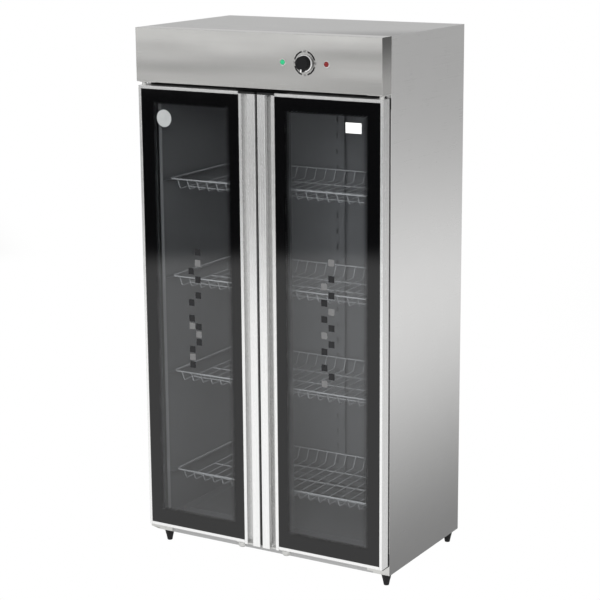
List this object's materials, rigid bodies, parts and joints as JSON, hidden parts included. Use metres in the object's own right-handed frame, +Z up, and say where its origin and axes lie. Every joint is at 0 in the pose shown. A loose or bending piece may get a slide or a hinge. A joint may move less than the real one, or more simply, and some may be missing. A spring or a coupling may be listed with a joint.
{
  "type": "dish sterilizer cabinet",
  "caption": "Tall stainless dish sterilizer cabinet with framed smoked-glass double doors, a timer header, wire plate racks, a drip tray and tapered rubber feet.",
  "frame": {"origin": "on the floor, under the middle of the cabinet's whole footprint, knob included", "axes": "+Z up, +X to the right of someone facing the doors, the doors face -Y"},
  "size_m": [0.834, 0.55, 1.64],
  "materials": {
    "stainless": "brushed",
    "liner_steel": "satin",
    "wire_steel": "polished wire",
    "zinc_steel": "zinc plated",
    "aluminium": "anodised satin",
    "door_glass": "smoked, with a black printed border",
    "quartz": "clear",
    "ceramic": "white ceramic",
    "insulation": "glass wool board",
    "black_plastic": "satin",
    "nylon": "satin",
    "chrome": "polished",
    "green_lens": "translucent",
    "red_lens": "translucent",
    "black_rubber": "matt",
    "grey_rubber": "satin"
  },
  "bodies": {
    "cabinet": {"side_panel_left": "stainless", "side_panel_right": "stainless", "top_panel": "stainless", "base_panel": "stainless", "back_panel": "stainless", "front_frame": "liner_steel", "header_panel": "stainless", "liner_left": "liner_steel", "liner_right": "liner_steel", "liner_back": "liner_steel", "liner_ceiling": "liner_steel", "liner_floor": "liner_steel", "insulation": "insulation", "rear_posts": "liner_steel", "rack_runners": "liner_steel", "heater_tubes": "quartz", "heater_holders": "ceramic", "heater_guard": "liner_steel", "hinge_brackets_top": "zinc_steel", "hinge_brackets_bottom": "zinc_steel", "hinge_pins": "zinc_steel", "hinge_spacers": "black_plastic", "timer_body": "black_plastic", "lamp_bezels": "chrome", "green_lens": "green_lens", "red_lens": "red_lens", "lamp_holders": "black_plastic", "terminal_block": "black_plastic", "cable_grommet": "black_rubber", "feet": "black_rubber", "back_screws": "zinc_steel"},
    "left_door": {"left_hinge_stile": "aluminium", "left_handle_stile": "aluminium", "left_top_rail": "aluminium", "left_bottom_rail": "aluminium", "left_glass": "door_glass", "left_gasket": "grey_rubber", "left_meeting_seal": "black_rubber", "left_end_caps": "black_plastic", "left_pivot_bushes": "nylon", "left_glide": "nylon"},
    "right_door": {"right_hinge_stile": "aluminium", "right_handle_stile": "aluminium", "right_top_rail": "aluminium", "right_bottom_rail": "aluminium", "right_glass": "door_glass", "right_gasket": "grey_rubber", "right_meeting_seal": "black_rubber", "right_end_caps": "black_plastic", "right_pivot_bushes": "nylon", "right_glide": "nylon"},
    "timer_dial": {"timer_knob": "black_plastic", "knob_ring": "chrome", "timer_shaft": "zinc_steel"},
    "top_rack_body": {"top_rack": "wire_steel"},
    "upper_rack_body": {"upper_rack": "wire_steel"},
    "lower_rack_body": {"lower_rack": "wire_steel"},
    "bottom_rack_body": {"bottom_rack": "wire_steel"},
    "drip_tray_body": {"drip_tray": "liner_steel"}
  },
  "joints": [
    {"name": "left_door_hinge", "type": "hinge", "parent": "cabinet", "child": "left_door", "pos_m": [-0.4045, -0.23, 0.77], "axis": [0, 0, -1], "range_deg": [0, 110]},
    {"name": "right_door_hinge", "type": "hinge", "parent": "cabinet", "child": "right_door", "pos_m": [0.4045, -0.23, 0.77], "axis": [0, 0, 1], "range_deg": [0, 110]},
    {"name": "timer_turn", "type": "hinge", "parent": "cabinet", "child": "timer_dial", "pos_m": [0.168, -0.253, 1.559], "axis": [0, 1, 0], "range_deg": [0, 300]},
    {"name": "top_rack_slide", "type": "slide", "parent": "cabinet", "child": "top_rack_body", "axis": [0, -1, 0], "range_m": [0, 0.04]},
    {"name": "upper_rack_slide", "type": "slide", "parent": "cabinet", "child": "upper_rack_body", "axis": [0, -1, 0], "range_m": [0, 0.04]},
    {"name": "lower_rack_slide", "type": "slide", "parent": "cabinet", "child": "lower_rack_body", "axis": [0, -1, 0], "range_m": [0, 0.04]},
    {"name": "bottom_rack_slide", "type": "slide", "parent": "cabinet", "child": "bottom_rack_body", "axis": [0, -1, 0], "range_m": [0, 0.04]},
    {"name": "drip_tray_slide", "type": "slide", "parent": "cabinet", "child": "drip_tray_body", "axis": [0, -1, 0], "range_m": [0, 0.027]}
  ]
}
